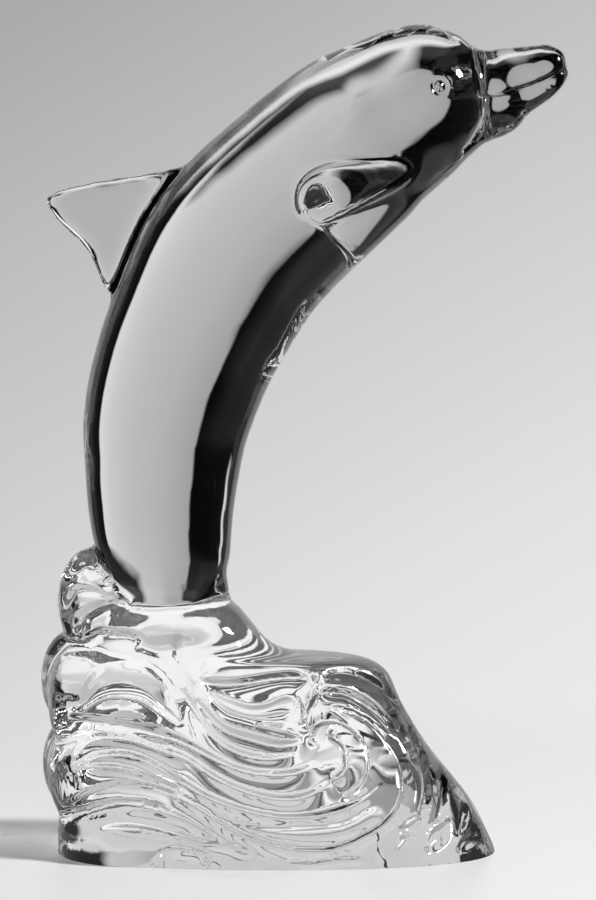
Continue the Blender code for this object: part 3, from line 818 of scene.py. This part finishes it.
def make_glass_dolphin():
    skin = bmesh.new()
    add_swept(skin, on_leap(SPINE), BODY_HEIGHT, BODY_WIDTH)
    add_swept(skin, on_leap(BEAK), BEAK_HEIGHT, BEAK_WIDTH)
    add_dorsal_fin(skin)
    for side in (-1, 1):
        add_flipper(skin, side)
    add_wave(skin)
    for roll in ROLLS:
        add_foam_roll(skin, roll)
    figure = melted(skin)
    grind_foot_flat(figure)
    figure.data.materials.append(clear_glass())
    return figure


def blended(tree, share, first, second):
    """A shader that goes from first to second as the share goes from 0 to 1."""
    mix = add_node(tree, "ShaderNodeMixShader")
    for socket, value in zip(mix.inputs, (share, first, second)):
        tree.links.new(value, socket)
    return mix.outputs["Shader"]


def pale_floor():
    """Pale paint that fades away with distance. The glass shows in place of most of it bands of painted
    shade and light: a painted shadow of the glass near the foot, and painted caustic light further out.
    """
    material = bpy.data.materials.new("Pale floor")
    material.use_nodes = True
    tree = material.node_tree
    paint = tree.nodes["Principled BSDF"]
    paint.inputs["Base Color"].default_value = FLOOR_COLOUR
    paint.inputs["Roughness"].default_value = FLOOR_ROUGHNESS
    place = add_node(tree, "ShaderNodeNewGeometry")
    length = add_node(tree, "ShaderNodeVectorMath", operation="LENGTH")
    tree.links.new(place.outputs["Position"], length.inputs[0])
    away = length.outputs["Value"]

    ray = add_node(tree, "ShaderNodeLightPath")
    mirrored = mirrored_rays(tree, ray)
    dimming = calculated(tree, "MULTIPLY", mirrored, MIRROR_DIMMING)
    # Emission of painted shade and light on the floor, which only the glass shows: a painted shadow of the
    # glass near the foot and painted caustic light further out
    painted_bands = add_node(tree, "ShaderNodeEmission")
    tree.links.new(level_by(tree, away, 0.0, FADE_END, PAINTED_FLOOR_SHADE_AND_LIGHT), painted_bands.inputs["Color"])
    tree.links.new(calculated(tree, "SUBTRACT", 1.0, dimming), painted_bands.inputs["Strength"])
    through_glass = calculated(tree, "MULTIPLY", ray.outputs["Is Transmission Ray"], PAINTED_BANDS_THROUGH_GLASS)
    by_mirror = calculated(tree, "MULTIPLY", mirrored, PAINTED_BANDS_MIRRORED)
    by_glass = calculated(tree, "MAXIMUM", through_glass, by_mirror)
    by_glass = calculated(tree, "MULTIPLY", by_glass, unscattered_rays(tree, ray))
    seen = blended(tree, by_glass, paint.outputs["BSDF"], painted_bands.outputs["Emission"])

    fade = add_node(
        tree,
        "ShaderNodeMapRange",
        interpolation_type="SMOOTHERSTEP",
        From_Min=FADE_START,
        From_Max=FADE_END,
    )
    tree.links.new(away, fade.inputs["Value"])
    clear = add_node(tree, "ShaderNodeBsdfTransparent")
    faded = blended(tree, fade.outputs["Result"], seen, clear.outputs["BSDF"])
    tree.links.new(faded, tree.nodes["Material Output"].inputs["Surface"])
    return material


def make_floor():
    mesh = bpy.data.meshes.new("floor")
    disc = bmesh.new()
    bmesh.ops.create_circle(disc, cap_ends=True, radius=FLOOR_RADIUS, segments=FLOOR_SIDES)
    disc.to_mesh(mesh)
    disc.free()
    mesh.materials.append(pale_floor())
    floor = bpy.data.objects.new("floor", mesh)
    floor.location.z = -FLOOR_GAP
    bpy.context.collection.objects.link(floor)
    return floor


def make_world():
    """A backdrop that is darker at the upper left, and black and white cards that only the glass shows."""
    world = bpy.data.worlds.new("Studio")
    bpy.context.scene.world = world
    world.use_nodes = True
    tree = world.node_tree
    tree.nodes.clear()
    place = add_node(tree, "ShaderNodeTexCoord")
    way = add_node(tree, "ShaderNodeSeparateXYZ")
    tree.links.new(place.outputs["Generated"], way.inputs["Vector"])
    to_right = in_degrees(tree, calculated(tree, "ARCTAN2", way.outputs["X"], way.outputs["Y"]))
    across = in_degrees(tree, calculated(tree, "ARCSINE", way.outputs["X"]))
    rise = in_degrees(tree, calculated(tree, "ARCSINE", way.outputs["Z"]))
    from_behind = in_degrees(tree, calculated(tree, "ARCCOSINE", way.outputs["Y"]))

    def by_rise(stops):
        return level_by(tree, rise, -90, 90, stops)

    def by_turn(stops):
        return level_by(tree, to_right, -180, 180, stops)

    def by_card(stops):
        return level_by(tree, from_behind, 0, 180, stops)

    slant = calculated(tree, "SUBTRACT", across, calculated(tree, "MULTIPLY", rise, BACKDROP_TURN))
    backdrop = level_by(tree, slant, -BACKDROP_SPAN, BACKDROP_SPAN, BACKDROP)

    side = add_node(tree, "ShaderNodeMapRange", From_Min=-SIDE_BLEND, From_Max=SIDE_BLEND)
    tree.links.new(way.outputs["X"], side.inputs["Value"])
    cards = mixed(tree, side.outputs["Result"], by_card(LEFT_CARDS), by_card(RIGHT_CARDS))
    sky = mixed(tree, by_turn(SKY_SIDE), grey(0), by_rise(SKY))
    over_foot = calculated(tree, "MAXIMUM", by_rise(CARDS_FOOT), by_turn(FOOTLESS_CARDS))
    tall = calculated(tree, "MULTIPLY", by_turn(TALL_CARDS), by_rise(TALL_CARDS_TOP))
    under_top = calculated(tree, "MAXIMUM", by_rise(CARDS_TOP), tall)
    shown = calculated(tree, "MULTIPLY", over_foot, under_top)
    cards = mixed(tree, shown, sky, cards)

    ray = add_node(tree, "ShaderNodeLightPath")
    in_glass = mixed(tree, mirrored_rays(tree, ray), cards, by_card(MIRRORED_ROOM))
    in_glass = mixed(tree, by_rise(CARD_REACH), by_rise(OVERHEAD), in_glass)
    by_glass = calculated(tree, "MAXIMUM", ray.outputs["Is Glossy Ray"], ray.outputs["Is Transmission Ray"])
    by_glass = calculated(tree, "MULTIPLY", by_glass, unscattered_rays(tree, ray))
    colour = mixed(tree, by_glass, grey(WORLD_LEVEL), in_glass)
    colour = mixed(tree, ray.outputs["Is Camera Ray"], colour, backdrop)
    light = add_node(tree, "ShaderNodeBackground")
    tree.links.new(colour, light.inputs["Color"])
    output = add_node(tree, "ShaderNodeOutputWorld")
    tree.links.new(light.outputs["Background"], output.inputs["Surface"])


def make_lamp(name, place, size, power):
    lamp = bpy.data.lights.new(name, "AREA")
    lamp.size = size
    lamp.energy = power
    holder = bpy.data.objects.new(name, lamp)
    holder.location = place
    holder.rotation_euler = (LAMP_AIM - Vector(place)).to_track_quat("-Z", "Y").to_euler()
    bpy.context.collection.objects.link(holder)


def make_camera():
    camera = bpy.data.cameras.new("Camera")
    camera.sensor_fit = "VERTICAL"
    camera.sensor_height = SENSOR
    camera.lens = SENSOR * CAMERA_DISTANCE / VIEW_HEIGHT
    holder = bpy.data.objects.new("Camera", camera)
    pitch = math.radians(CAMERA_PITCH)
    x, z = VIEW_MIDDLE
    holder.location = (x, -CAMERA_DISTANCE * math.cos(pitch), z + CAMERA_DISTANCE * math.sin(pitch))
    holder.rotation_euler = (math.pi / 2 - pitch, 0, 0)
    bpy.context.collection.objects.link(holder)
    bpy.context.scene.camera = holder


make_camera()
dolphin = make_glass_dolphin()
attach(dolphin, "root")
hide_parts("dolphin_on_wave")
make_floor()
make_world()
for lamp in LAMPS:
    make_lamp(*lamp)
bpy.context.scene.view_settings.view_transform = "Standard"
